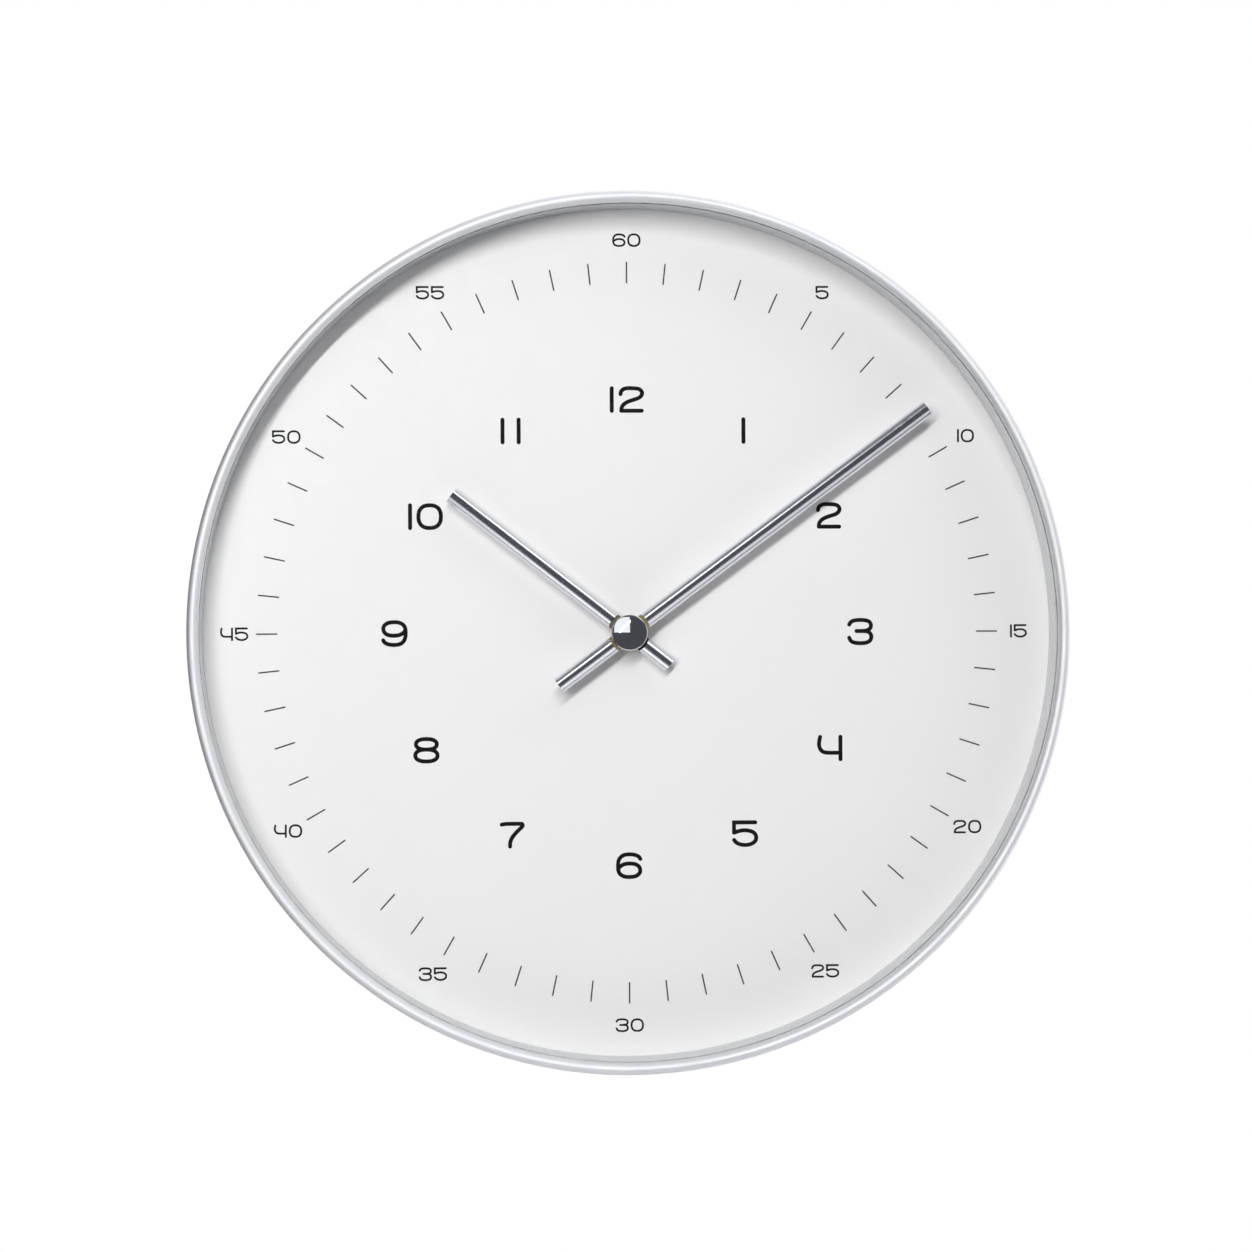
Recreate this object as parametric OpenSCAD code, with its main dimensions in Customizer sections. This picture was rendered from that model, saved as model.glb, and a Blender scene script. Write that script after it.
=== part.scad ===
// Round quartz wall clock with rod hands, drawn as the assembly it is.
//
// Frame: millimetres, +Z up, the dial faces -Y. The origin is on the hands' axis, on the wall plane.
// Every part is drafted in face coordinates and turned into that frame by faced():
// x to the right, y up, z from the wall towards the viewer.
// A span is a pair: [nearer the wall, nearer the viewer], or [lower, higher].

/* [Case] */
// Outer diameter of the case
case_d = 300; // [280:1:400]
// Thickness of the case wall
case_wall = 2; // [1.5:0.1:2.5]
// Width of the rounded lip
lip_w = 4; // [3.5:0.5:6]
// Height of the lip above the glass
lip_h = 3.5; // [3.5:0.5:6]
// Distance from the wall to the case's rear edge
rear_gap = 0.5; // [0.3:0.1:2]

/* [Dial and glass] */
// Thickness of the dial
dial_t = 1.2; // [1:0.1:1.5]
// Thickness of the glass
glass_t = 2; // [1.5:0.5:4]
// Free depth between the dial and the gasket under the glass
hand_room = 17; // [17:0.5:30]
// Thickness of the gasket under the glass
gasket_t = 0.5; // [0.3:0.1:1]

/* [Hands] */
// Diameter of the rods
rod_d = 5.5; // [4.5:0.1:5.5]
// Length of the minute hand from the axis to its tip
minute_reach = 127.8; // [100:0.1:135]
// Length of the minute hand's tail from the axis
minute_tail = 30.2; // [12:0.1:60]
// Length of the hour hand from the axis to its tip
hour_reach = 77; // [50:0.1:100]
// Length of the hour hand's tail from the axis
hour_tail = 18; // [12:0.1:50]
// Minute hand's angle at rest, clockwise from twelve
minute_angle = 53.3; // [0:0.1:360]
// Hour hand's angle at rest, clockwise from twelve
hour_angle = 308; // [0:0.1:360]
// Radius of the round cut where a rod meets its brass bush
seat_r = 7.2; // [6.8:0.1:8]
// Diameter of the domed cap
cap_d = 12.3; // [10:0.1:13]
// Height of the domed cap
cap_h = 1.95; // [1.8:0.05:2.5]

/* [Rear cover] */
// Thickness of the rear cover's plate
cover_t = 2; // [1.6:0.1:2.4]
// Distance from the wall to the rear cover's plate
cover_recess = 2.4; // [2.4:0.1:3]
// Radius of the wall pads
pad_r = 6; // [4:0.5:8]
// Radius of the keyhole's entry
keyhole_r = 4.5; // [4:0.1:5]
// Width of the keyhole's slot
keyhole_slot = 5; // [4:0.1:5]

/* [Hidden] */

$fn = 96;
// Overshoot of a cut past the face it opens, and overlap of two shapes that are fused
cut = 1;
fuse = 0.1;
// Clearance on the radius: of a pressed or glued fit, of a running fit, and of a loose one
press_gap = 0.02;
run_gap = 0.05;
loose_gap = 0.1;

// Depths, from the wall forward
body_t = 17.3;
dial_gasket_t = 0.5;
dial_back = body_t + dial_gasket_t;
dial_front = dial_back + dial_t;
gasket_back = dial_front + hand_room;
glass_back = gasket_back + gasket_t;
glass_front = glass_back + glass_t;
lip_front = glass_front + lip_h;

// Case radii
case_r = case_d / 2;
bore_r = case_r - case_wall;
lip_in_r = case_r - lip_w;
lip_bead_r = lip_w / 2;
fit_r = bore_r - 0.2;
gasket_in_r = lip_in_r + 0.3;
edge_chamfer = 0.5;

// Rear cover: plate, foot, ribs, screw bosses and the collar round the movement
cover_r = bore_r - 0.3;
cover_foot_t = 2.7;
cover_front = cover_recess + cover_t;
spacer_t = 2.7;
rib_t = 1.6;
rib_h = 2.6;
rib_count = 12;
rib_in_r = 44;
collar_half = 28.5;
collar_t = 2;
collar_h = 6;
boss_w = 8;
boss_len = 9;
boss_top = 8.4;
pad_ring_r = case_r - 28;
pad_angles = [62, 118, 242, 298];

// Radial screws
screw_angles = [45, 135, 225, 315];
screw_z = 6.2;
screw_r = 1.25;
screw_hole_r = 1.4;
screw_len = 9;
screw_head_r = 2.5;
screw_head_h = 1.25;
drive_depth = 0.6;
drive_half = 0.3;

// Keyhole hanger: a plate with round ends, riveted over a pocket in the rear cover
hanger_y = case_r - 39;
hanger_half = 10;
hanger_r = 13;
hanger_t = 1.2;
hanger_back = cover_recess - hanger_t;
keyhole_y = hanger_y - 5;
keyhole_rise = 9.5;
pocket_half = 7;
pocket_y = [hanger_y - 11, hanger_y + 9];
rivet_x = 16;
rivet_r = 1.6;
rivet_head_r = 3;
rivet_head_h = 0.9;
rivet_tail_r = 2.6;
rivet_tail_h = 0.8;

// Movement housing, with the battery bay across its bottom
body_half = 28;
body_wall = 1.4;
body_inner = body_half - body_wall;
floor_t = 1.2;
lid_t = 1.3;
lid_back = body_t - lid_t;
bay_y = [-26.8, -11.4];
divider_t = 1;
strip_slot_w = 0.8;

// Fixing through the dial
bushing_r = 4;
bushing_top = 22.2;
dial_gasket_r = 12;
hub_washer_r = 5.5;
hub_washer_t = 0.4;
nut_r = 5.4;
nut_t = 2.2;

// Wheel teeth: addendum and dedendum in modules, widths as shares of the pitch either side of centre
addendum = 0.8;
dedendum = 1.1;
tip_share = 0.11;
root_share = 0.25;

// Motion works: minute pinion 12 drives wheel 36, its pinion 10 drives hour wheel 40, knob pinion 12
motion_mod = 0.5;
hour_mod = 0.48;
minute_teeth = 12;
motion_teeth = 36;
motion_pinion_teeth = 10;
hour_teeth = 40;
knob_teeth = 12;
motion_dir = 20;
knob_dir = -50;
motion_reach = motion_mod * (minute_teeth + motion_teeth) / 2;
motion_at = polar(motion_reach, motion_dir);
knob_at = motion_at + polar(motion_reach, knob_dir);

// Going train: rotor 8 drives 48, 8 drives second wheel 40, 8 drives 60, third wheel's 8 drives centre 64
leaves = 8;
rotor_mod = 0.3;
second_mod = 0.37;
centre_mod = 0.25;
intermediate_teeth = 48;
second_teeth = 40;
third_teeth = 60;
centre_teeth = 64;
third_dir = 150;
intermediate_dir = 50;
rotor_dir = 5;
third_reach = centre_mod * (leaves + centre_teeth) / 2;
third_mod = 2 * third_reach / (leaves + third_teeth);
third_at = polar(third_reach, third_dir);
intermediate_at = polar(second_mod * (leaves + second_teeth) / 2, intermediate_dir);
rotor_at = intermediate_at + polar(rotor_mod * (leaves + intermediate_teeth) / 2, rotor_dir);

// Layers of the wheels, from the wall forward
knob_disc_z = [0.5, 2.6];
rotor_pinion_z = [3, 4.4];
intermediate_wheel_z = [3.4, 4];
intermediate_pinion_z = [5.2, 6.6];
magnet_z = [5.4, 7.8];
second_wheel_z = [5.6, 6.2];
second_pinion_z = [7.4, 8.8];
third_wheel_z = [7.8, 8.4];
minute_collar_z = [9.9, 10.2];
third_pinion_z = [10.2, 11.5];
centre_hub_z = [10.3, 11.6];
centre_wheel_z = [10.6, 11.2];
bridge_z = [11.9, 12.6];
minute_pinion_z = [12.9, 14];
knob_pinion_z = [12.9, 13.9];
motion_wheel_z = [13, 13.8];
motion_pinion_z = [14.2, 15.6];
hour_wheel_z = [14.5, 15.3];
knob_top = 16.7;

// Arbors, hubs and their pivots
pivot_r = 0.5;
pivot_z = [1.4, 12.6];
pivot_boss_r = 1.4;
pivot_boss_top = 2.6;
hub_r = 1.2;
motion_hub_r = 1.8;
third_hub_r = 0.7;
centre_hub_r = 2.6;
second_top = 13.5;
minute_r = 1.5;
minute_collar_r = 2.2;
minute_bore_top = 14.2;
pipe_r = 2.6;
stud_r = 0.6;
stud_back = 13.1;

// Setting knob and the well it turns in
knob_r = 4.2;
knob_arbor_r = 1;
knob_grips = 12;
knob_grip_r = 0.5;
knob_pivot_top = 16.9;
well_r = 4.6;
well_t = 1;
well_top = 4.4;

// Bridge over the going train, on three posts of [x, y, radius]
bridge_outline = [
  [-15, -9], [5, -9], [25.2, -1.2], [25.2, 3.2], [16.5, 11], [5, 16.6], [1, 16.6], [-11, 9], [-15, -2]
];
bridge_posts = [[-12.5, -7, 1.4], [23.5, 1, 1.4], [3, 15.3, 1]];

// Stepping motor: a yoke round the rotor with two legs, a core across them and the coil on it
stator_z = [5.8, 7.2];
stator_hole_r = 3.4;
notch_r = 0.5;
notch_dir = 40;
magnet_r = 2.8;
legs_x = [-16.6, 26];
leg_w = 5.6;
yoke_y = [10.4, 14.2];
head_left = 9.2;
head_low = 4.2;
core_y = [18.6, 23.4];
core_t = 1.2;
core_z = [stator_z[1], stator_z[1] + core_t];
coil_y = (core_y[0] + core_y[1]) / 2;
coil_z = (core_z[0] + core_z[1]) / 2;
coil_x = [-9.5, 19];
coil_r = 4;
flange_r = 4.3;
flange_t = 0.8;
tube_r = 3.1;
stator_posts = [[-13.8, 20.5, 1.5], [23.2, 20.5, 1.5], [22.5, 9.5, 1.5]];

// Circuit board and what stands on it
board_x = [-26, -18.4];
board_y = [-9.4, 24];
board_z = [6, 6.8];
parts_x = (board_x[0] + board_x[1]) / 2;
board_posts = [[parts_x, -4, 1.2], [parts_x, 20, 1.2]];
chip_half = 2.4;
chip_y = 11;
chip_h = 1.2;
quartz_r = 1;
quartz_len = 6;

// AA cell lying across the bottom of the movement
cell_r = 7.25;
cell_y = -19.2;
cell_z = 8.55;
cell_x = [-23.7, 25];
nub_r = 2.75;
nub_left = -24.9;
foil_t = 0.2;
foil_r = 6.25;

// Its contacts: plates at the bay's ends, and strips that run to the board
contact_t = 0.4;
contact_x = body_inner - 0.05;
plate_y = [-24, -14];
plate_z = [2, 14];
strip_z = [9.4, 11.4];
foot_z = [board_z[1], board_z[1] + contact_t];
positive_foot_y = [-8.6, -6.6];
positive_foot_x = [-contact_x, -24.6];
negative_foot_x = [-24, -22];
negative_foot_y = [-10.35, -7.5];
dimple_r = 2;
leaf_z = [5, 12];
leaf_half = 4.5;
leaf_t = 0.5;

// Hands: rods in brass bushes on the hour pipe and the minute arbor, under a domed cap
rod_r = rod_d / 2;
bush_h = 4;
bush_disc_r = 5.9;
tongue_half = 2.65;
tongue_h = 3.2;
spigot_r = 1.2;
spigot_len = 4;
hour_rod_z = bushing_top + 2.75;
minute_rod_z = hour_rod_z + 6;
hour_pipe_top = hour_rod_z + bush_h / 2 - run_gap;
minute_top = minute_rod_z + bush_h / 2;

// Cap: a shallow dome that runs smoothly into a rounded edge
cap_r = cap_d / 2;
dome_r = 19;
cap_edge_r = 0.45;
cap_edge_z = cap_h - dome_r + sqrt(pow(dome_r - cap_edge_r, 2) - pow(cap_r - cap_edge_r, 2));
dome_reach = dome_r * (cap_r - cap_edge_r) / (dome_r - cap_edge_r);

function polar(r, a) = [r * cos(a), r * sin(a)];

// One tooth's four corners, standing at angle a
function tooth(n, m, a) = let (
  pitch = 360 / n,
  tip_r = m * (n / 2 + addendum),
  root_r = m * (n / 2 - dedendum)
) [
  polar(root_r, a - root_share * pitch),
  polar(tip_r, a - tip_share * pitch),
  polar(tip_r, a + tip_share * pitch),
  polar(root_r, a + root_share * pitch)
];

function gear_outline(n, m, turn) = [for (i = [0 : n - 1]) each tooth(n, m, turn + 360 * i / n)];

// Half a pitch: turns a gap instead of a tooth towards an angle
function half_pitch(n) = 180 / n;

// A span made longer at both ends
function past(z, by = cut) = [z[0] - by, z[1] + by];

// Face coordinates to the part's frame
module faced() rotate([90, 0, 0]) children();

module at(p) translate([p[0], p[1], 0]) children();

module slab(z) translate([0, 0, z[0]]) linear_extrude(z[1] - z[0]) children();

module disc(r, z) translate([0, 0, z[0]]) cylinder(r = r, h = z[1] - z[0]);

module block(x, y, z) translate([x[0], y[0], z[0]]) cube([x[1] - x[0], y[1] - y[0], z[1] - z[0]]);

module ring(r_out, r_in, z) difference() {
  disc(r_out, z);
  disc(r_in, past(z));
}

module gear(n, m, turn, z) slab(z) polygon(gear_outline(n, m, turn));

// A cylinder that points away from the axis along angle a, over the span of radii r_span
module spoke(a, z, r, r_span) rotate([0, 0, a]) translate([r_span[0], 0, z]) rotate([0, 90, 0])
  cylinder(r = r, h = r_span[1] - r_span[0]);

// A cylinder parallel to x
module bar(y, z, r, x) translate([x[0], y, z]) rotate([0, 90, 0]) cylinder(r = r, h = x[1] - x[0]);

module case_ring() color("gainsboro") faced() difference() {
  rotate_extrude() {
    polygon([
      [bore_r, rear_gap], [case_r - edge_chamfer, rear_gap], [case_r, rear_gap + edge_chamfer],
      [case_r, lip_front - lip_bead_r], [lip_in_r, lip_front - lip_bead_r],
      [lip_in_r, glass_front], [bore_r, glass_front]
    ]);
    translate([case_r - lip_bead_r, lip_front - lip_bead_r]) intersection() {
      circle(lip_bead_r);
      translate([-lip_bead_r, 0]) square([lip_w, lip_bead_r]);
    }
  }
  for (a = screw_angles) {
    spoke(a, screw_z, screw_hole_r, [bore_r - cut, case_r + cut]);
    screw_head(a, run_gap);
  }
}

// Countersunk head's cone, or with a gap its seat
module screw_head(a, gap) rotate([0, 0, a]) translate([case_r - screw_head_h - gap, 0, screw_z])
  rotate([0, 90, 0]) cylinder(h = screw_head_h + gap, r1 = screw_r + gap, r2 = screw_head_r + gap);

module glass() color([0.8, 0.9, 0.95, 0.3]) faced() disc(fit_r, [glass_back, glass_front]);

module glass_gasket() color("dimgray") faced() ring(fit_r, gasket_in_r, [gasket_back, glass_back]);

module rehaut_ring() color("silver") faced() ring(bore_r - loose_gap, lip_in_r, [dial_front, gasket_back]);

module dial() color("white") faced() ring(fit_r, bushing_r + loose_gap, [dial_back, dial_front]);

module rear_cover() color("dimgray") faced() difference() {
  union() {
    disc(cover_r, [cover_recess, cover_front]);
    ring(cover_r, cover_r - cover_foot_t, [0, cover_recess + fuse]);
    for (i = [0 : rib_count - 1]) rotate([0, 0, (i + 0.5) * 360 / rib_count])
      block([rib_in_r, cover_r - boss_len], [-rib_t / 2, rib_t / 2],
        [cover_recess + cut, cover_front + rib_h]);
    for (a = screw_angles) rotate([0, 0, a])
      block([cover_r - boss_len, cover_r - spacer_t - loose_gap], [-boss_w / 2, boss_w / 2],
        [cover_recess + cut, boss_top]);
    square_post(collar_half + collar_t, [cover_recess, collar_h]);
  }
  square_post(collar_half, [-cut, collar_h + cut]);
  block([-pocket_half, pocket_half], pocket_y, past([cover_recess, cover_front]));
  for (x = [-rivet_x, rivet_x]) at([x, hanger_y])
    disc(rivet_r + press_gap, past([cover_recess, cover_front]));
  for (a = screw_angles) spoke(a, screw_z, screw_r + press_gap, [case_r - screw_len - cut, case_r]);
}

module dial_spacer() color("gray") faced() difference() {
  ring(cover_r, cover_r - spacer_t, [cover_front, dial_back]);
  for (a = screw_angles) spoke(a, screw_z, screw_hole_r, [cover_r - spacer_t - cut, cover_r + cut]);
}

module square_post(half, z) block([-half, half], [-half, half], z);

module cover_screws() color("silver") faced() for (a = screw_angles) difference() {
  union() {
    spoke(a, screw_z, screw_r, [case_r - screw_len, case_r - screw_head_h]);
    screw_head(a, 0);
  }
  rotate([0, 0, a]) block([case_r - drive_depth, case_r + cut], [-screw_head_r, screw_head_r],
    [screw_z - drive_half, screw_z + drive_half]);
}

module hanger_plate() color("darkgray") faced() difference() {
  at([0, hanger_y]) {
    block([-hanger_half, hanger_half], [-hanger_r, hanger_r], [hanger_back, cover_recess]);
    for (x = [-hanger_half, hanger_half]) at([x, 0]) disc(hanger_r, [hanger_back, cover_recess]);
  }
  at([0, keyhole_y]) disc(keyhole_r, past([hanger_back, cover_recess]));
  at([0, keyhole_y + keyhole_rise]) disc(keyhole_slot / 2, past([hanger_back, cover_recess]));
  block([-keyhole_slot / 2, keyhole_slot / 2], [keyhole_y, keyhole_y + keyhole_rise],
    past([hanger_back, cover_recess]));
  for (x = [-rivet_x, rivet_x]) at([x, hanger_y])
    disc(rivet_r + press_gap, past([hanger_back, cover_recess]));
}

module hanger_rivets() color("silver") faced() for (x = [-rivet_x, rivet_x]) at([x, hanger_y]) {
  disc(rivet_r, past([hanger_back, cover_front], fuse));
  disc(rivet_head_r, [hanger_back - rivet_head_h, hanger_back]);
  disc(rivet_tail_r, [cover_front, cover_front + rivet_tail_h]);
}

module wall_pads() color("black") faced() for (a = pad_angles)
  at(polar(pad_ring_r, a)) disc(pad_r, [0, cover_recess]);

module movement_back() color("black") faced() {
  difference() {
    square_post(body_half, [0, lid_back]);
    difference() {
      block([-body_inner, body_inner], [bay_y[0], body_inner], [floor_t, lid_back + cut]);
      block([-body_half, body_half], [bay_y[1], bay_y[1] + divider_t], [0, lid_back]);
      at(knob_at) disc(well_r + well_t, [0, well_top]);
    }
    block([-body_inner, body_inner], bay_y, past([0, lid_back]));
    for (x = [-body_inner, body_inner - strip_slot_w])
      block([x, x + strip_slot_w], past([bay_y[1], bay_y[1] + divider_t]), past(strip_z, contact_t));
    at(knob_at) disc(well_r, [-cut, well_top - well_t]);
    at(knob_at) disc(knob_arbor_r + run_gap, past([0, well_top]));
  }
  for (p = [[0, 0], third_at, intermediate_at, rotor_at]) at(p) difference() {
    disc(pivot_boss_r, [floor_t / 2, pivot_boss_top]);
    disc(pivot_r + run_gap, [pivot_z[0] - loose_gap, pivot_boss_top + cut]);
  }
  for (p = bridge_posts) at(p) disc(p[2], [floor_t / 2, bridge_z[0]]);
  for (p = stator_posts) at(p) disc(p[2], [floor_t / 2, stator_z[0]]);
  for (p = board_posts) at(p) disc(p[2], [floor_t / 2, board_z[0]]);
}

module movement_front() color("black") faced() {
  difference() {
    union() {
      square_post(body_half, [lid_back, body_t]);
      disc(bushing_r, [body_t - fuse, bushing_top]);
    }
    disc(pipe_r + run_gap, past([lid_back, bushing_top]));
    at(knob_at) disc(knob_arbor_r + run_gap, [lid_back - cut, knob_pivot_top]);
  }
  at(motion_at) disc(stud_r, [stud_back, lid_back + fuse]);
}

module train_bridge() color("dimgray") faced() difference() {
  slab(bridge_z) polygon(bridge_outline);
  disc(minute_r + run_gap, past(bridge_z));
  for (p = [third_at, intermediate_at, rotor_at]) at(p) disc(pivot_r + run_gap, past(bridge_z));
}

module dial_gasket() color("black") faced() ring(dial_gasket_r, bushing_r + loose_gap, [body_t, dial_back]);

module bushing_washer() color("gold") faced()
  ring(hub_washer_r, bushing_r + loose_gap, [dial_front, dial_front + hub_washer_t]);

module bushing_nut() color("gold") faced() difference() {
  translate([0, 0, dial_front + hub_washer_t]) cylinder(r = nut_r, h = nut_t, $fn = 6);
  disc(bushing_r + press_gap, [dial_front, bushing_top + cut]);
}

module stator() color("slategray") faced() difference() {
  slab(stator_z) polygon([
    [head_left, head_low], [legs_x[1], head_low], [legs_x[1], core_y[1]], [legs_x[1] - leg_w, core_y[1]],
    [legs_x[1] - leg_w, yoke_y[1]], [legs_x[0] + leg_w, yoke_y[1]], [legs_x[0] + leg_w, core_y[1]],
    [legs_x[0], core_y[1]], [legs_x[0], yoke_y[0]], [head_left, yoke_y[0]]
  ]);
  at(rotor_at) {
    disc(stator_hole_r, past(stator_z));
    for (a = [notch_dir, notch_dir + 180]) at(polar(stator_hole_r, a)) disc(notch_r, past(stator_z));
  }
}

module coil_core() color("slategray") faced() block(legs_x, core_y, core_z);

module coil_bobbin() color("ivory") faced() difference() {
  union() {
    bar(coil_y, coil_z, tube_r, coil_x);
    bar(coil_y, coil_z, flange_r, [coil_x[0], coil_x[0] + flange_t]);
    bar(coil_y, coil_z, flange_r, [coil_x[1] - flange_t, coil_x[1]]);
  }
  block(past(coil_x), past(core_y, run_gap), past(core_z, run_gap));
}

module coil_winding() color("peru") faced() difference() {
  bar(coil_y, coil_z, coil_r, past(coil_x, -flange_t));
  bar(coil_y, coil_z, tube_r + press_gap, coil_x);
}

module circuit_board() color("darkgreen") faced() block(board_x, board_y, board_z);

module chip() color("black") faced() at([parts_x, chip_y])
  block([-chip_half, chip_half], [-chip_half, chip_half], [board_z[1], board_z[1] + chip_h]);

module quartz_can() color("silver") faced() translate([parts_x, 0, board_z[1] + quartz_r + run_gap])
  rotate([-90, 0, 0]) cylinder(r = quartz_r, h = quartz_len);

module contact_positive() color("silver") faced() {
  plate_x = [-contact_x, contact_t - contact_x];
  block(plate_x, plate_y, plate_z);
  block(plate_x, [plate_y[1] - cut, positive_foot_y[1]], strip_z);
  block(plate_x, positive_foot_y, [foot_z[0], strip_z[1]]);
  block(positive_foot_x, positive_foot_y, foot_z);
  bar(cell_y, cell_z, dimple_r, [-contact_x, nub_left - loose_gap]);
}

module contact_negative() color("silver") faced() {
  plate_x = [contact_x - contact_t, contact_x];
  strip_y = [negative_foot_y[0], negative_foot_y[0] + contact_t];
  block(plate_x, plate_y, plate_z);
  slab(leaf_z) polygon([
    [plate_x[0] + fuse, cell_y - leaf_half], [cell_x[1] + 3 * loose_gap, cell_y],
    [plate_x[0] + fuse, cell_y + leaf_half], [plate_x[0] + fuse - leaf_t, cell_y + leaf_half],
    [cell_x[1] + loose_gap, cell_y], [plate_x[0] + fuse - leaf_t, cell_y - leaf_half]
  ]);
  block(plate_x, [plate_y[1] - cut, strip_y[1]], strip_z);
  block([negative_foot_x[0], contact_x], strip_y, strip_z);
  block(negative_foot_x, strip_y, [foot_z[0], strip_z[1]]);
  block(negative_foot_x, negative_foot_y, foot_z);
}

// A rod hand at clock angle a, in two lengths that its bush joins
module rod_hand(a, z, reach, tail) for (end = [[90 - a, reach], [270 - a, tail]]) difference() {
  spoke(end[0], z, rod_r, [cut, end[1]]);
  disc(seat_r, past([z, z], rod_d));
  spoke(end[0], z, spigot_r + press_gap, [0, seat_r + spigot_len + run_gap]);
}

// A bush: a disc bored for its arbor, with a tongue and a spigot for the rod on each side
module hand_bush(a, z, bore) difference() {
  union() {
    disc(bush_disc_r, past([z, z], bush_h / 2));
    intersection() {
      disc(seat_r - press_gap, past([z, z], tongue_h / 2));
      rotate([0, 0, 90 - a])
        block([-seat_r, seat_r], [-tongue_half, tongue_half], past([z, z], tongue_h / 2));
    }
    for (turn = [90 - a, 270 - a]) spoke(turn, z, spigot_r, [bush_disc_r - cut, seat_r + spigot_len]);
  }
  disc(bore, past([z, z], bush_h));
}

module hour_hand() color("lightsteelblue") faced() rod_hand(hour_angle, hour_rod_z, hour_reach, hour_tail);

module hour_hand_bush() color("darkkhaki") faced() hand_bush(hour_angle, hour_rod_z, pipe_r + press_gap);

module hour_wheel() color("white") faced() difference() {
  union() {
    gear(hour_teeth, hour_mod, motion_dir + half_pitch(hour_teeth), hour_wheel_z);
    disc(pipe_r, [hour_wheel_z[0], hour_pipe_top]);
  }
  disc(minute_r + run_gap, past([hour_wheel_z[0], hour_pipe_top]));
}

module minute_hand() color("lightsteelblue") faced()
  rod_hand(minute_angle, minute_rod_z, minute_reach, minute_tail);

module minute_hand_bush() color("darkkhaki") faced()
  hand_bush(minute_angle, minute_rod_z, minute_r + press_gap);

module hand_cap() color("lightsteelblue") faced() rotate_extrude() translate([0, minute_top]) {
  intersection() {
    translate([0, cap_h - dome_r]) circle(dome_r, $fn = 200);
    square([dome_reach, cap_h]);
  }
  translate([cap_r - cap_edge_r, cap_edge_z]) circle(cap_edge_r);
  square([cap_r, cap_edge_z]);
}

module minute_arbor() color("silver") faced() difference() {
  union() {
    disc(minute_collar_r, minute_collar_z);
    disc(minute_r, [minute_collar_z[0], minute_top - run_gap]);
    gear(minute_teeth, motion_mod, motion_dir + half_pitch(minute_teeth), minute_pinion_z);
  }
  disc(pivot_r + run_gap, [minute_collar_z[0] - cut, minute_bore_top]);
}

module motion_wheel() color("white") faced() at(motion_at) difference() {
  union() {
    gear(motion_teeth, motion_mod, motion_dir + 180, motion_wheel_z);
    disc(motion_hub_r, past([motion_wheel_z[1], motion_pinion_z[0]], fuse));
    gear(motion_pinion_teeth, hour_mod, motion_dir + 180, motion_pinion_z);
  }
  disc(stud_r + run_gap, past([motion_wheel_z[0], motion_pinion_z[1]]));
}

module setting_knob() color("white") faced() at(knob_at) {
  difference() {
    disc(knob_r, knob_disc_z);
    for (i = [0 : knob_grips - 1]) at(polar(knob_r + loose_gap, i * 360 / knob_grips))
      disc(knob_grip_r, past(knob_disc_z));
  }
  disc(knob_arbor_r, [knob_disc_z[1] - fuse, knob_top]);
  gear(knob_teeth, motion_mod, knob_dir + 180 + half_pitch(knob_teeth), knob_pinion_z);
}

module rotor_magnet() color("dimgray") faced() at(rotor_at) ring(magnet_r, pivot_r + press_gap, magnet_z);

module rotor_pinion() color("white") faced() at(rotor_at) {
  disc(pivot_r, pivot_z);
  gear(leaves, rotor_mod, rotor_dir + 180 + half_pitch(leaves), rotor_pinion_z);
}

module intermediate_wheel() color("white") faced() at(intermediate_at) {
  disc(pivot_r, pivot_z);
  gear(intermediate_teeth, rotor_mod, rotor_dir, intermediate_wheel_z);
  disc(hub_r, past([intermediate_wheel_z[1], intermediate_pinion_z[0]], fuse));
  gear(leaves, second_mod, intermediate_dir + 180, intermediate_pinion_z);
}

module second_wheel() color("white") faced() {
  disc(pivot_r, [pivot_z[0], second_top]);
  gear(second_teeth, second_mod, intermediate_dir + half_pitch(second_teeth), second_wheel_z);
  disc(hub_r, past([second_wheel_z[1], second_pinion_z[0]], fuse));
  gear(leaves, third_mod, third_dir + half_pitch(leaves), second_pinion_z);
}

module third_wheel() color("white") faced() at(third_at) {
  disc(pivot_r, pivot_z);
  gear(third_teeth, third_mod, third_dir + 180, third_wheel_z);
  disc(third_hub_r, past([third_wheel_z[1], third_pinion_z[0]], fuse));
  gear(leaves, centre_mod, third_dir + 180, third_pinion_z);
}

module centre_wheel() color("white") faced() difference() {
  union() {
    gear(centre_teeth, centre_mod, third_dir + half_pitch(centre_teeth), centre_wheel_z);
    disc(centre_hub_r, centre_hub_z);
  }
  disc(minute_r + run_gap, past(centre_hub_z));
}

module battery_can() color("seagreen") faced() bar(cell_y, cell_z, cell_r, [cell_x[0], cell_x[1] - foil_t]);

module battery_terminals() color("silver") faced() {
  bar(cell_y, cell_z, nub_r, [nub_left, cell_x[0]]);
  bar(cell_y, cell_z, foil_r, [cell_x[1] - foil_t, cell_x[1]]);
}

case_ring();
glass();
glass_gasket();
rehaut_ring();
dial();
rear_cover();
dial_spacer();
cover_screws();
hanger_plate();
hanger_rivets();
wall_pads();
movement_back();
movement_front();
train_bridge();
dial_gasket();
bushing_washer();
bushing_nut();
stator();
coil_core();
coil_bobbin();
coil_winding();
circuit_board();
chip();
quartz_can();
contact_positive();
contact_negative();
hour_hand();
hour_hand_bush();
hour_wheel();
minute_hand();
minute_hand_bush();
hand_cap();
minute_arbor();
motion_wheel();
setting_knob();
rotor_magnet();
rotor_pinion();
intermediate_wheel();
second_wheel();
third_wheel();
centre_wheel();
battery_can();
battery_terminals();
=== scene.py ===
"""Looks of the wall clock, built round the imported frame. Metres; +Z up, the dial faces -Y, the wall is +Y."""

import math

import bmesh
import bpy
from mathutils import Matrix, Vector
from mathutils.geometry import delaunay_2d_cdt


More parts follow.
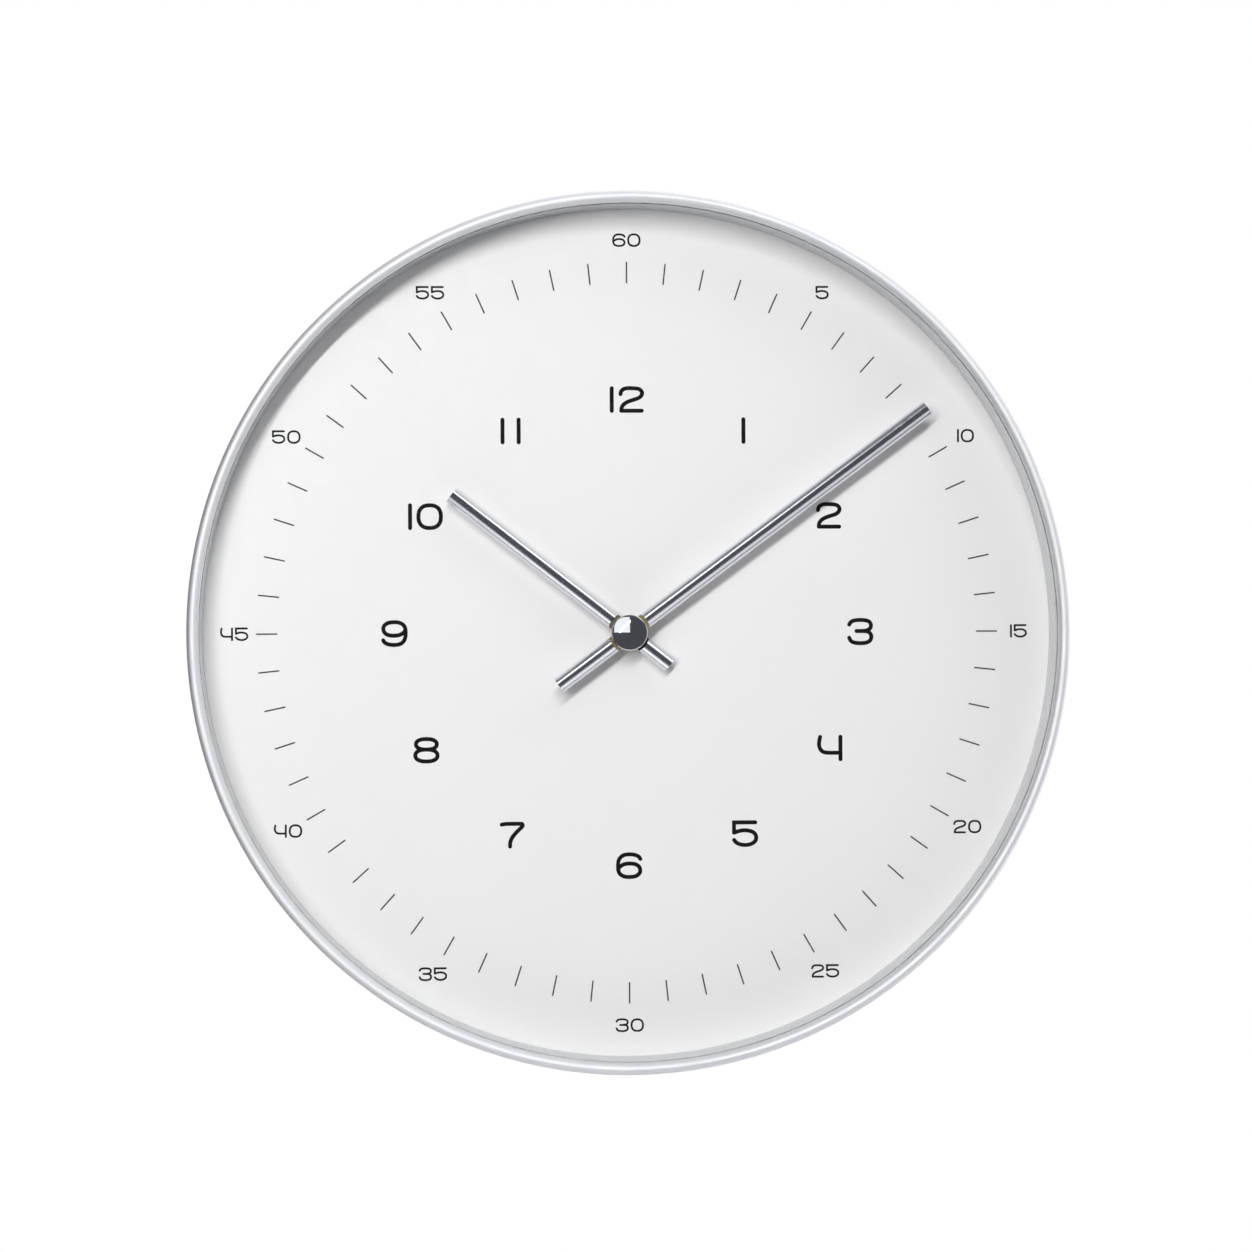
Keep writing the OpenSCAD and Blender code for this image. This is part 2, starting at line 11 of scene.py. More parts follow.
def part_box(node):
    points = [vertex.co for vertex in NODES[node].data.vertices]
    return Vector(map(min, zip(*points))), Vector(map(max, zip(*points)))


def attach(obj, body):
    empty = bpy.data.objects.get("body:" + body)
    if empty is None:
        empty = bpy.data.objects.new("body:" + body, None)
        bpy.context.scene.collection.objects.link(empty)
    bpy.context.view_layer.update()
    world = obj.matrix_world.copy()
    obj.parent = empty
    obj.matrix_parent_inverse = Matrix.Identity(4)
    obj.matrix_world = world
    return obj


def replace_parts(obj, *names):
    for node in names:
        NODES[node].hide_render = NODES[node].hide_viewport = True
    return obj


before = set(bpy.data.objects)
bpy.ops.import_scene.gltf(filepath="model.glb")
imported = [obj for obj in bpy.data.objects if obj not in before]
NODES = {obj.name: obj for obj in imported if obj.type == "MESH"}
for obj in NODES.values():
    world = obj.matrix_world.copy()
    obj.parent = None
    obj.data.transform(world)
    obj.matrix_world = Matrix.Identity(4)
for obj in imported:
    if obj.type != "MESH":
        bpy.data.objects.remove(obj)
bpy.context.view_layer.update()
MM = 0.001
DIAL_FRONT = -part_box("dial")[0].y
LIP_FRONT = -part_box("case_ring")[0].y


# ---- materials --------------------------------------------------------------------------------------------

class Look:
    """One material's node tree, with short calls for the nodes that the materials share."""

    def __init__(self, name, colour, roughness, metallic=0.0, **constants):
        self.material = bpy.data.materials.new(name)
        self.material.use_nodes = True
        self.nodes = self.material.node_tree.nodes
        self.links = self.material.node_tree.links
        self.shader = self.nodes["Principled BSDF"]
        self.colour = colour
        self.shader.inputs["Base Color"].default_value = (*colour, 1)
        self.shader.inputs["Roughness"].default_value = roughness
        self.shader.inputs["Metallic"].default_value = metallic
        for key, value in constants.items():
            self.shader.inputs[key.replace("_", " ")].default_value = value
        self.height = None

    def add(self, kind, **settings):
        node = self.nodes.new("ShaderNode" + kind)
        for key, value in settings.items():
            setattr(node, key, value)
        return node

    def feed(self, socket, value):
        if isinstance(value, bpy.types.NodeSocket):
            self.links.new(value, socket)
        else:
            socket.default_value = value

    def math(self, operation, a, b=0.0, clamp=False):
        node = self.add("Math", operation=operation, use_clamp=clamp)
        self.feed(node.inputs[0], a)
        self.feed(node.inputs[1], b)
        return node.outputs[0]

    def place(self):
        """Position in the row frame, in millimetres."""
        node = self.add("VectorMath", operation="SCALE")
        self.feed(node.inputs[0], self.add("TexCoord").outputs["Object"])
        node.inputs["Scale"].default_value = 1 / MM
        return node.outputs[0]

    def stretched(self, x, y, z):
        """Position in millimetres with each axis stretched, for grain that runs one way."""
        node = self.add("VectorMath", operation="MULTIPLY")
        self.feed(node.inputs[0], self.place())
        node.inputs[1].default_value = (x, y, z)
        return node.outputs[0]

    def turned(self, centre=(0, 0), along=1.0, around=0.0):
        """Coordinates round an axis parallel to Y: (radius, depth times along, angle times around)."""
        split = self.add("SeparateXYZ")
        self.feed(split.inputs[0], self.place())
        x = self.math("SUBTRACT", split.outputs["X"], centre[0])
        z = self.math("SUBTRACT", split.outputs["Z"], centre[1])
        radius = self.math("SQRT", self.math("ADD", self.math("MULTIPLY", x, x), self.math("MULTIPLY", z, z)))
        join = self.add("CombineXYZ")
        self.feed(join.inputs[0], radius)
        self.feed(join.inputs[1], self.math("MULTIPLY", split.outputs["Y"], along))
        self.feed(join.inputs[2], self.math("MULTIPLY", self.math("ARCTAN2", z, x), around))
        return join.outputs[0]

    def noise(self, size, where=None, detail=3.0, distortion=0.0):
        """Noise with features of that size in millimetres."""
        node = self.add("TexNoise")
        self.feed(node.inputs["Vector"], where or self.place())
        node.inputs["Scale"].default_value = 1 / size
        node.inputs["Detail"].default_value = detail
        node.inputs["Distortion"].default_value = distortion
        return node.outputs["Fac"]

    def cells(self, size, where=None, feature="F1", output="Distance"):
        node = self.add("TexVoronoi", feature=feature)
        self.feed(node.inputs["Vector"], where or self.place())
        node.inputs["Scale"].default_value = 1 / size
        return node.outputs[output]

    def spread(self, value, low, high, to_low=0.0, to_high=1.0):
        node = self.add("MapRange")
        self.feed(node.inputs["Value"], value)
        limits = {"From Min": low, "From Max": high, "To Min": to_low, "To Max": to_high}
        for key, number in limits.items():
            node.inputs[key].default_value = number
        return node.outputs[0]

    def tint(self, share, colour):
        """Mixes another colour into the base colour by share."""
        node = self.add("Mix", data_type="RGBA")
        socket = self.shader.inputs["Base Color"]
        before = socket.links[0].from_socket if socket.links else None
        self.feed(node.inputs[0], share)
        self.feed(node.inputs[6], before or (*self.colour, 1))
        self.feed(node.inputs[7], (*colour, 1))
        self.links.new(node.outputs[2], socket)
        return self

    def rough(self, value, low, high):
        """Roughness from low to high as value goes from 0.3 to 0.7."""
        self.links.new(self.spread(value, 0.3, 0.7, low, high), self.shader.inputs["Roughness"])
        return self

    def relief(self, value, depth):
        """Adds a relief of that depth in millimetres on what is there already."""
        node = self.add("Bump")
        node.inputs["Distance"].default_value = depth * MM
        if self.height is not None:
            self.links.new(self.height, node.inputs["Normal"])
        self.links.new(value, node.inputs["Height"])
        self.height = node.outputs[0]
        self.links.new(self.height, self.shader.inputs["Normal"])
        return self


def case_look():
    """Satin metallic finish, turned round the case, with faint cloudiness."""
    k = Look("case_satin", (0.77, 0.775, 0.79), 0.65, 0.82)
    rings = k.noise(0.16, k.turned(around=3.0), detail=4)
    k.rough(k.noise(1.1, k.turned(around=12.0), detail=5), 0.60, 0.69)
    k.tint(k.spread(k.noise(30), 0.35, 0.75, 0, 0.35), (0.73, 0.735, 0.755))
    return k.relief(rings, 0.004)


def dial_look():
    """White satin lacquer on a metal disc."""
    k = Look("dial_lacquer", (0.872, 0.870, 0.868), 0.42, Specular_IOR_Level=0.3)
    k.tint(k.spread(k.noise(45, detail=2), 0.3, 0.7, 0, 0.6), (0.86, 0.858, 0.855))
    k.rough(k.noise(6, detail=4), 0.38, 0.48)
    return k.relief(k.noise(0.35, detail=2), 0.002)


def rehaut_look():
    """Satin aluminium on the inner wall, brushed round it."""
    k = Look("inner_wall", (0.60, 0.61, 0.62), 0.28, 0.9)
    k.tint(k.spread(k.noise(25), 0.3, 0.7, 0, 0.5), (0.57, 0.58, 0.595))
    k.rough(k.noise(2, k.turned(around=20.0)), 0.24, 0.34)
    return k.relief(k.noise(0.3, k.turned(around=6.0)), 0.003)


def ink_look(name, shade):
    """Pad-printed ink: a little uneven in density and gloss."""
    k = Look(name, (shade, shade, shade), 0.7, Specular_IOR_Level=0.08)
    k.tint(k.spread(k.noise(0.5, detail=5), 0.35, 0.75, 0, 0.6), (1.8 * shade, 1.8 * shade, 1.85 * shade))
    k.rough(k.noise(0.7), 0.62, 0.78)
    return k.relief(k.noise(0.12), 0.002)


def chrome_look(name, roughness):
    """Polished plate with faint smears."""
    k = Look(name, (0.80, 0.82, 0.85), roughness, 1.0)
    k.rough(k.noise(3.0, detail=6, distortion=1.2), 0.7 * roughness, 1.3 * roughness)
    return k.tint(k.spread(k.noise(9, detail=4), 0.4, 0.8, 0, 0.35), (0.74, 0.765, 0.81))


def glass_look():
    """Clear lens: what is behind shows through, with a thin mirror that grows towards grazing angles."""
    k = Look("lens", (1, 1, 1), 0.0)
    k.nodes.remove(k.shader)
    facing = k.add("LayerWeight")
    facing.inputs["Blend"].default_value = 0.5
    grazing = k.math("POWER", facing.outputs["Facing"], 5.0)
    share = k.math("ADD", k.math("MULTIPLY", grazing, 0.7), 0.0015, clamp=True)
    clear = k.add("BsdfTransparent")
    clear.inputs["Color"].default_value = (0.992, 0.992, 0.992, 1)
    gloss = k.add("BsdfGlossy")
    gloss.inputs["Roughness"].default_value = 0.02
    polish = k.add("Bump")
    polish.inputs["Distance"].default_value = 0.0004 * MM
    k.links.new(k.noise(20), polish.inputs["Height"])
    k.links.new(polish.outputs[0], gloss.inputs["Normal"])
    mix = k.add("MixShader")
    k.links.new(share, mix.inputs[0])
    k.links.new(clear.outputs[0], mix.inputs[1])
    k.links.new(gloss.outputs[0], mix.inputs[2])
    k.links.new(mix.outputs[0], k.nodes["Material Output"].inputs["Surface"])
    return k


def plastic_look(name, colour, roughness, grain=0.35, depth=0.02, worn=None, **constants):
    """Moulded plastic with spark-eroded grain, flow marks, and paler rubbed patches."""
    k = Look(name, colour, roughness, **constants)
    rubbed = worn or [min(1, c * 1.5 + 0.01) for c in colour]
    k.tint(k.spread(k.noise(12, detail=5), 0.45, 0.8, 0, 0.5), rubbed)
    k.rough(k.noise(5, detail=5), roughness - 0.06, roughness + 0.09)
    return k.relief(k.noise(grain, detail=2), depth)


def metal_look(name, colour, roughness, where, size=0.12, depth=0.004, stain=None):
    """Metal with a machined or drawn grain along where, and a faint stain."""
    k = Look(name, colour, roughness, 1.0)
    k.rough(k.noise(1.5, where(k), detail=5), roughness - 0.06, roughness + 0.1)
    k.tint(k.spread(k.noise(4, detail=5), 0.45, 0.75, 0, 0.5), stain or [c * 0.8 for c in colour])
    return k.relief(k.noise(size, where(k), detail=4), depth)


def galvanised_look():
    """Zinc spangle with scuffs."""
    k = Look("hanger_zinc", (0.62, 0.64, 0.66), 0.4, 1.0)
    flakes = k.cells(3.2, output="Color")
    grey = k.add("RGBToBW")
    k.feed(grey.inputs[0], flakes)
    k.rough(grey.outputs[0], 0.3, 0.55)
    k.tint(k.math("MULTIPLY", grey.outputs[0], 0.7), (0.44, 0.46, 0.49))
    k.relief(grey.outputs[0], 0.01)
    return k.relief(k.noise(0.25, k.stretched(1, 1, 0.08), detail=5), 0.006)


def rubber_look(name, colour):
    """Foamed rubber: open cells and a dusty bloom."""
    k = Look(name, colour, 0.85, Specular_IOR_Level=0.25)
    k.tint(k.spread(k.noise(2.5, detail=6), 0.4, 0.8, 0, 0.6), [c * 2 + 0.02 for c in colour])
    k.relief(k.cells(0.45), 0.05)
    return k.relief(k.noise(0.2), 0.03)


def winding_look():
    """Enamelled wire laid in turns round the coil's axis, which runs along X."""
    k = Look("coil_wire", (0.75, 0.27, 0.09), 0.28, 1.0)
    wave = k.add("TexWave", wave_type="BANDS", bands_direction="X", wave_profile="SIN")
    k.feed(wave.inputs["Vector"], k.place())
    wave.inputs["Scale"].default_value = 1.2
    wave.inputs["Distortion"].default_value = 0.3
    # Painted shade: the wire is darker in the grooves between its turns.
    k.tint(k.spread(wave.outputs["Fac"], 0, 0.5, 0.7, 0), (0.25, 0.07, 0.02))
    k.rough(k.noise(1.0), 0.2, 0.4)
    return k.relief(wave.outputs["Fac"], 0.08)


def board_look():
    """Green solder mask over weave and copper traces."""
    k = Look("board_mask", (0.012, 0.10, 0.035), 0.3, Coat_Weight=0.4)
    traces = k.cells(1.8, k.stretched(1, 1, 0.35), feature="DISTANCE_TO_EDGE")
    k.tint(k.spread(traces, 0.04, 0.09, 0.8, 0), (0.03, 0.19, 0.07))
    k.rough(k.noise(1.2), 0.22, 0.4)
    return k.relief(k.spread(traces, 0.03, 0.1, 1, 0), 0.03)


def sleeve_look(low, high):
    """Sleeve of the cell: a metallic green body, a silver band and a gold shoulder, with shrink wrinkles."""
    k = Look("cell_sleeve", (0.02, 0.16, 0.11), 0.28, 0.35, Coat_Weight=0.6)
    split = k.add("SeparateXYZ")
    k.feed(split.inputs[0], k.place())
    across = k.spread(split.outputs["X"], low, high)
    k.tint(k.math("LESS_THAN", across, 0.3), (0.62, 0.64, 0.66))
    k.tint(k.math("LESS_THAN", across, 0.27), (0.60, 0.42, 0.13))
    k.tint(k.spread(k.noise(3, detail=5), 0.5, 0.8, 0, 0.25), (0.01, 0.05, 0.04))
    k.rough(k.noise(2), 0.2, 0.36)
    return k.relief(k.noise(0.9, k.stretched(0.15, 1, 1), detail=3), 0.02)


def straight(x, y, z):
    return lambda k: k.stretched(x, y, z)


def round_axis(k):
    return k.turned(around=2.0)


def paint(look, *nodes):
    """Gives CAD nodes a look in place of their packed material."""
    for name in nodes:
        for slot in NODES[name].material_slots:
            slot.material = look.material


black = plastic_look("cover_abs", (0.018, 0.018, 0.02), 0.5)
housing = plastic_look("movement_abs", (0.010, 0.010, 0.011), 0.42, grain=0.25, depth=0.012)
natural = plastic_look("acetal", (0.78, 0.77, 0.72), 0.35, grain=0.6, depth=0.004, worn=(0.70, 0.67, 0.58),
                       Subsurface_Weight=0.1, Subsurface_Radius=(0.002, 0.002, 0.0015))
brass = metal_look("turned_brass", (0.66, 0.50, 0.22), 0.24, round_axis, stain=(0.42, 0.33, 0.15))
# Painted shade: the hand bushes' brass is darkened for the shade and dark reflections under the cap, most on
# the hour hand's bush, which sits lower.
bush_brass_painted_shade = metal_look("bush_brass_painted_shade", (0.17, 0.135, 0.075), 0.3, round_axis, stain=(0.08, 0.065, 0.04))
brass_painted_deep_shade = metal_look("brass_painted_deep_shade", (0.07, 0.064, 0.055), 0.34, round_axis, stain=(0.04, 0.036, 0.03))
steel = metal_look("screw_steel", (0.60, 0.60, 0.59), 0.3, straight(1, 1, 1), size=0.3)
iron = metal_look("motor_iron", (0.42, 0.42, 0.44), 0.35, straight(0.1, 1, 1))
nickel = metal_look("nickel_plate", (0.66, 0.64, 0.59), 0.2, straight(1, 1, 0.15))
magnet = plastic_look("sintered_magnet", (0.10, 0.10, 0.105), 0.5, grain=0.2, depth=0.02, Metallic=0.7)
pads = rubber_look("pad_foam", (0.02, 0.02, 0.02))

paint(case_look(), "case_ring")
paint(glass_look(), "glass")
paint(rubber_look("glass_seal", (0.16, 0.16, 0.165)), "glass_gasket")
paint(rehaut_look(), "rehaut_ring")
paint(dial_look(), "dial")
paint(black, "rear_cover", "dial_spacer")
paint(steel, "cover_screws", "hanger_rivets")
paint(galvanised_look(), "hanger_plate")
paint(pads, "wall_pads", "dial_gasket")
paint(housing, "movement_back", "movement_front")
paint(plastic_look("bridge_acetal", (0.05, 0.05, 0.055), 0.45), "train_bridge")
paint(brass, "bushing_washer", "bushing_nut", "minute_arbor")
# The bushes' darkened brass is painted shade.
paint(bush_brass_painted_shade, "minute_hand_bush")
paint(brass_painted_deep_shade, "hour_hand_bush")
paint(iron, "stator", "coil_core")
paint(plastic_look("bobbin_nylon", (0.74, 0.68, 0.5), 0.42, depth=0.006), "coil_bobbin")
paint(winding_look(), "coil_winding")
paint(board_look(), "circuit_board")
paint(plastic_look("chip_epoxy", (0.012, 0.012, 0.012), 0.3, grain=0.15, depth=0.01), "chip")
paint(nickel, "quartz_can", "contact_positive", "contact_negative", "battery_terminals")
paint(natural, "hour_wheel", "motion_wheel", "setting_knob", "rotor_pinion", "intermediate_wheel",
      "second_wheel", "third_wheel", "centre_wheel")
paint(magnet, "rotor_magnet")
CELL = [v.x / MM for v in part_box("battery_can")]
paint(sleeve_look(*CELL), "battery_can")
paint(chrome_look("rod_chrome", 0.19), "hour_hand", "minute_hand")


# ---- printing on the dial ---------------------------------------------------------------------------------

PRINT_T = 0.04 * MM
HOUR_RING = 80.4 * MM
MINUTE_RING = 135.4 * MM
STROKES = (120.6 * MM, 127.9 * MM)
STROKE_W = 0.5 * MM
# Overall height, pen width and gap between figures
HOUR_FIGURES = (9.2 * MM, 1.38 * MM, 1.55 * MM)
MINUTE_FIGURES = (4.65 * MM, 0.68 * MM, 0.65 * MM)


def curve(points, steps=7):
    """A smooth line through given points (Catmull-Rom)."""
    p = [Vector(q) for q in points]
    p = [2 * p[0] - p[1], *p, 2 * p[-1] - p[-2]]
    out = []
    for a, b, c, d in zip(p, p[1:], p[2:], p[3:]):
        for i in range(steps):
            t = i / steps
            out.append(0.5 * (2 * b + (c - a) * t + (2 * a - 5 * b + 4 * c - d) * t ** 2
                              + (3 * b - a - 3 * c + d) * t ** 3))
    return out + [p[-2]]


def oval(x, y, rx, ry, start, end, squareness=2.3, steps=28):
    """Part of a superellipse, from start to end degrees."""
    out = []
    for i in range(steps + 1):
        a = math.radians(start + (end - start) * i / steps)
        c, s = math.cos(a), math.sin(a)
        out.append(Vector((x + rx * math.copysign(abs(c) ** (2 / squareness), c),
                           y + ry * math.copysign(abs(s) ** (2 / squareness), s))))
    return out


def line(*points):
    return [Vector(p) for p in points]


# Each figure's centre lines, on a grid of GRID units from its middle to its edge
GRID = 80
HALF_WIDTH = 78
SIX = [
    curve([(80, 47), (68, 64), (40, 76), (2, 80), (-38, 74), (-64, 54), (-75, 28), (-78, -2), (-75, -36),
           (-62, -60), (-34, -76), (3, -80), (44, -75), (71, -57), (79, -32), (69, -6), (44, 10), (6, 15),
           (-34, 10), (-64, -7), (-76, -24)]),
]
FIGURES = {
    "0": [oval(0, 0, 79, 80, 0, 184, 2.4), oval(0, 0, 79, 80, 180, 364, 2.4)],
    "1": [line((0, 80), (0, -80))],
    "2": [curve([(-76, 38), (-71, 58), (-53, 74), (-27, 80), (2, 80), (37, 78), (62, 70), (77, 48), (69, 25),
                 (47, 9), (12, -3), (-23, -15), (-52, -33), (-67, -54), (-71, -79)]),
          line((-71, -79), (74, -79))],
    "3": [curve([(-78, 50), (-66, 68), (-41, 79), (0, 82), (38, 79), (66, 68), (76, 45), (69, 22), (46, 8),
                 (8, 4)]),
          line((12, 4), (-27, 4)),
          curve([(8, 4), (52, 0), (74, -19), (78, -43), (66, -66), (38, -79), (-1, -82), (-41, -78),
                 (-66, -66), (-79, -43)])],
    "4": [curve([(-68, 79), (-74, 50), (-76, 24), (-68, -5), (-48, -26), (-19, -33), (20, -34), (76, -34)]),
          line((76, 79), (76, -80))],
    "5": [line((72, 80), (-79, 80), (-79, 7)),
          curve([(-79, 7), (-59, 14), (-34, 21), (0, 24), (41, 17), (68, 0), (78, -27), (69, -54), (41, -73),
                 (0, -80), (-39, -74), (-64, -61), (-79, -44)])],
    "6": SIX,
    "7": [curve([(-74, 75), (-50, 79), (-20, 80), (20, 80), (55, 80), (70, 78), (73, 66), (62, 52), (35, 26),
                 (6, -7), (-9, -34), (-15, -56), (-16, -80)])],
    "8": [oval(0, 42, 73, 37, 0, 184), oval(0, 42, 73, 37, 180, 364),
          oval(0, -37, 78, 42, 0, 184), oval(0, -37, 78, 42, 180, 364)],
    "9": [[-p for p in part] for part in SIX],
}
# Long lines are drawn in runs of this many steps, and a run's round end has this many
PEN_RUN = 20
CAP_STEPS = 10
# Two ones stand this many times further apart than other pairs
ONES_APART = 2.7


def pen(points, half):
    """The outline that a round pen leaves along a line of points."""
    side = []
    for i, p in enumerate(points):
        ways = [points[min(i + 1, len(points) - 1)] - p, p - points[max(i - 1, 0)]]
        ways = [w.normalized() for w in ways if w.length > 1e-9]
        way = sum(ways, Vector((0, 0))).normalized()
        lean = max(0.5, way.dot(ways[0]))
        side.append(Vector((-way.y, way.x)) * half / lean)
    left = [p + s for p, s in zip(points, side)]
    right = [p - s for p, s in zip(points, side)]

    def cap(centre, start):
        first = math.atan2(start.y, start.x)
        angles = [first - math.pi * i / CAP_STEPS for i in range(1, CAP_STEPS)]
        return [centre + half * Vector((math.cos(a), math.sin(a))) for a in angles]

    return left + cap(points[-1], side[-1]) + right[::-1] + cap(points[0], -side[0])


def add_print(bm, outlines, at):
    """Adds a thin solid over the union of flat outlines, standing on the dial at that point (x, z)."""
    verts, faces = [], []
    for outline in outlines:
        if sum(a.cross(b) for a, b in zip(outline, outline[1:] + outline[:1])) < 0:
            outline = outline[::-1]
        faces.append(list(range(len(verts), len(verts) + len(outline))))
        verts += outline
    flat, _, tris, _, _, source = delaunay_2d_cdt(verts, [], faces, 1, 1e-8)
    tris = [t for t, from_faces in zip(tris, source) if from_faces]
    top, bottom = {}, {}

    def corner(cache, i, depth):
        if i not in cache:
            cache[i] = bm.verts.new((at[0] + flat[i].x, -depth, at[1] + flat[i].y))
        return cache[i]

    edges = {}
    for t in tris:
        for a, b in zip(t, t[1:] + t[:1]):
            edges[a, b] = True
        bm.faces.new([corner(top, i, DIAL_FRONT + PRINT_T) for i in t])
        bm.faces.new([corner(bottom, i, DIAL_FRONT) for i in reversed(t)])
    for a, b in edges:
        if (b, a) not in edges:
            bm.faces.new((top[b], top[a], bottom[a], bottom[b]))


def figure(digit, height, pen_w):
    """A digit's outlines, at that overall height and centred, in runs too short to cross themselves."""
    unit = (height - pen_w) / 2 / GRID
    runs = [part[i:i + PEN_RUN + 1] for part in FIGURES[digit] for i in range(0, len(part) - 1, PEN_RUN)]
    return [pen([p * unit for p in run], pen_w / 2) for run in runs]


def number(text, height, pen_w, gap):
    """A number's outlines, centred."""
    unit = (height - pen_w) / 2 / GRID
    widths = [pen_w if d == "1" else 2 * HALF_WIDTH * unit + pen_w for d in text]
    gap = gap * ONES_APART if text == "11" else gap
    x = -(sum(widths) + gap * (len(text) - 1)) / 2
    out = []
    for digit, width in zip(text, widths):
        shift = Vector((x + width / 2, 0))
        out += [[p + shift for p in outline] for outline in figure(digit, height, pen_w)]
        x += width + gap
    return out


def piece(name, bm, body, look):
    """A new piece made from bm, which rides on body."""
    bmesh.ops.remove_doubles(bm, verts=bm.verts, dist=1e-8)
    bmesh.ops.recalc_face_normals(bm, faces=bm.faces)
    mesh = bpy.data.meshes.new(name)
    bm.to_mesh(mesh)
    bm.free()
    made = bpy.data.objects.new(name, mesh)
    bpy.context.scene.collection.objects.link(made)
    mesh.materials.append(look.material)
    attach(made, body)
    return made


def clock_point(radius, turn):
    """The point (x, z) on the dial at that radius, with turn as a share of a clockwise round from twelve."""
    a = math.tau * turn
    return radius * math.sin(a), radius * math.cos(a)


hours, minutes, strokes = bmesh.new(), bmesh.new(), bmesh.new()
for n in range(1, 13):
    add_print(hours, number(str(n), *HOUR_FIGURES), clock_point(HOUR_RING, n / 12))
    add_print(minutes, number(str(5 * n), *MINUTE_FIGURES), clock_point(MINUTE_RING, n / 12))
for n in range(60):
    (ax, az), (bx, bz) = (clock_point(r, n / 60) for r in STROKES)
    way = Vector((bz - az, ax - bx)).normalized() * STROKE_W / 2
    ends = [Vector((ax, az)), Vector((bx, bz))]
    add_print(strokes, [[ends[0] + way, ends[0] - way, ends[1] - way, ends[1] + way]], (0, 0))
piece("hour_numerals", hours, "case", ink_look("hour_ink", 0.006))
piece("minute_numerals", minutes, "case", ink_look("minute_ink", 0.015))
piece("minute_strokes", strokes, "case", ink_look("stroke_ink", 0.05))


# ---- the polished cap -------------------------------------------------------------------------------------

def arc(centre, radius, start, end, steps):
    """Points (radius, height) along an arc, from start to end degrees."""
    angles = [math.radians(start + (end - start) * i / steps) for i in range(steps + 1)]
    return [(centre[0] + radius * math.cos(a), centre[1] + radius * math.sin(a)) for a in angles]


def turned_piece(name, node, profile, body, look, steps=180):
    """A closed solid of revolution round the hands' axis, from points (radius, height), for a CAD node."""
    bm = bmesh.new()
    rings = []
    for radius, height in profile:
        count = steps if radius > 1e-9 else 1
        rings.append([bm.verts.new((radius * math.sin(math.tau * i / steps), -height,
                                    radius * math.cos(math.tau * i / steps))) for i in range(count)])
    for a, b in zip(rings, rings[1:]):
        for i in range(steps):
            j = (i + 1) % steps
            corners = [a[i % len(a)], a[j % len(a)], b[j % len(b)], b[i % len(b)]]
            bm.faces.new(list(dict.fromkeys(corners)))
    made = piece(name, bm, body, look)
    made.data.shade_smooth()
    made.data.set_sharp_from_angle(angle=math.radians(35))
    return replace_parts(made, node)


def add_cap():
    """The domed cap, with its true dome and rounded edge."""
    low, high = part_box("hand_cap")
    base, top, reach = -high.y, -low.y, (high.x - low.x) / 2
    dome, edge = 19 * MM, 0.45 * MM
    centre = top - dome
    edge_height = centre + math.sqrt((dome - edge) ** 2 - (reach - edge) ** 2)
    meet = math.degrees(math.atan2(edge_height - centre, reach - edge))
    profile = [(0, base), (reach, base), *arc((reach - edge, edge_height), edge, 0, meet, 12),
               *arc((0, centre), dome, meet, 90, 40)[1:-1], (0, top)]
    turned_piece("polished_cap", "hand_cap", profile, "minute",
                 chrome_look("cap_chrome", 0.035))


add_cap()


# ---- camera, light and floor ------------------------------------------------------------------------------

# The camera: degrees round the clock, distance from the lip's middle, focal length, and aim off that middle
VIEW_AZIMUTH = -2.4
VIEW_DISTANCE = 1.19
LENS = 101.1
AIM_OFFSET = Vector((-0.00162, 0, 0.00223))
ROLL = -0.25
# The tent's radiance: on its dark and bright sides, the same beyond the dial's plane, and round the camera
TENT_SIDES = (0.03, 0.033, 0.038), (0.58, 0.585, 0.60)
TENT_BEHIND = (0.05, 0.053, 0.06), (1.8, 1.8, 1.83)
TENT_FRONT = (0.075, 0.077, 0.085)
FLOOR_HALF = 0.8
FLOOR_AT = (0, -0.2, -0.9)
# The key light: a narrow strip, turned in its own plane, and the slopes x and z from the dial to its middle
KEY_AWAY = 2.0
KEY_SLOPE = (-0.137, 0.237)
KEY_TURN = -47
# The softbox faces the dial's plane squarely, level with its own middle
SOFTBOX_AT = Vector((-0.43, -1.6, 0.51))


def from_clock(azimuth, elevation, distance, centre=(0, 0, 0)):
    a, e = math.radians(azimuth), math.radians(elevation)
    way = Vector((math.sin(a) * math.cos(e), -math.cos(a) * math.cos(e), math.sin(e)))
    return Vector(centre) + way * distance


def add_camera():
    lip = Vector((0, -LIP_FRONT, 0))
    camera = bpy.data.objects.new("camera", bpy.data.cameras.new("camera"))
    bpy.context.scene.collection.objects.link(camera)
    camera.data.lens = LENS
    camera.data.clip_end = 100
    camera.location = from_clock(VIEW_AZIMUTH, 0, VIEW_DISTANCE, lip)
    aim = (lip + AIM_OFFSET - camera.location).to_track_quat("-Z", "Y")
    camera.rotation_mode = "QUATERNION"
    camera.rotation_quaternion = aim @ Matrix.Rotation(math.radians(ROLL), 3, "Z").to_quaternion()
    bpy.context.scene.camera = camera


def add_light(name, where, power, width, height=None, towards=(0, 0, 0)):
    """A soft light: a disk of that width, or a rectangle if it has a height."""
    data = bpy.data.lights.new(name, "AREA")
    data.shape = "RECTANGLE" if height else "DISK"
    data.size = width
    if height:
        data.size_y = height
    data.energy = power
    light = bpy.data.objects.new(name, data)
    bpy.context.scene.collection.objects.link(light)
    light.location = where
    light.rotation_euler = (Vector(towards) - Vector(where)).to_track_quat("-Z", "Y").to_euler()
    return light


def keep_light(light, receivers, state):
    """Lets a light fall on those objects only (INCLUDE), or on all others (EXCLUDE)."""
    group = bpy.data.collections.new(light.name + "_receivers")
    for receiver in receivers:
        group.objects.link(receiver)
    for entry in group.collection_objects:
        entry.light_linking.link_state = state
    light.light_linking.receiver_collection = group


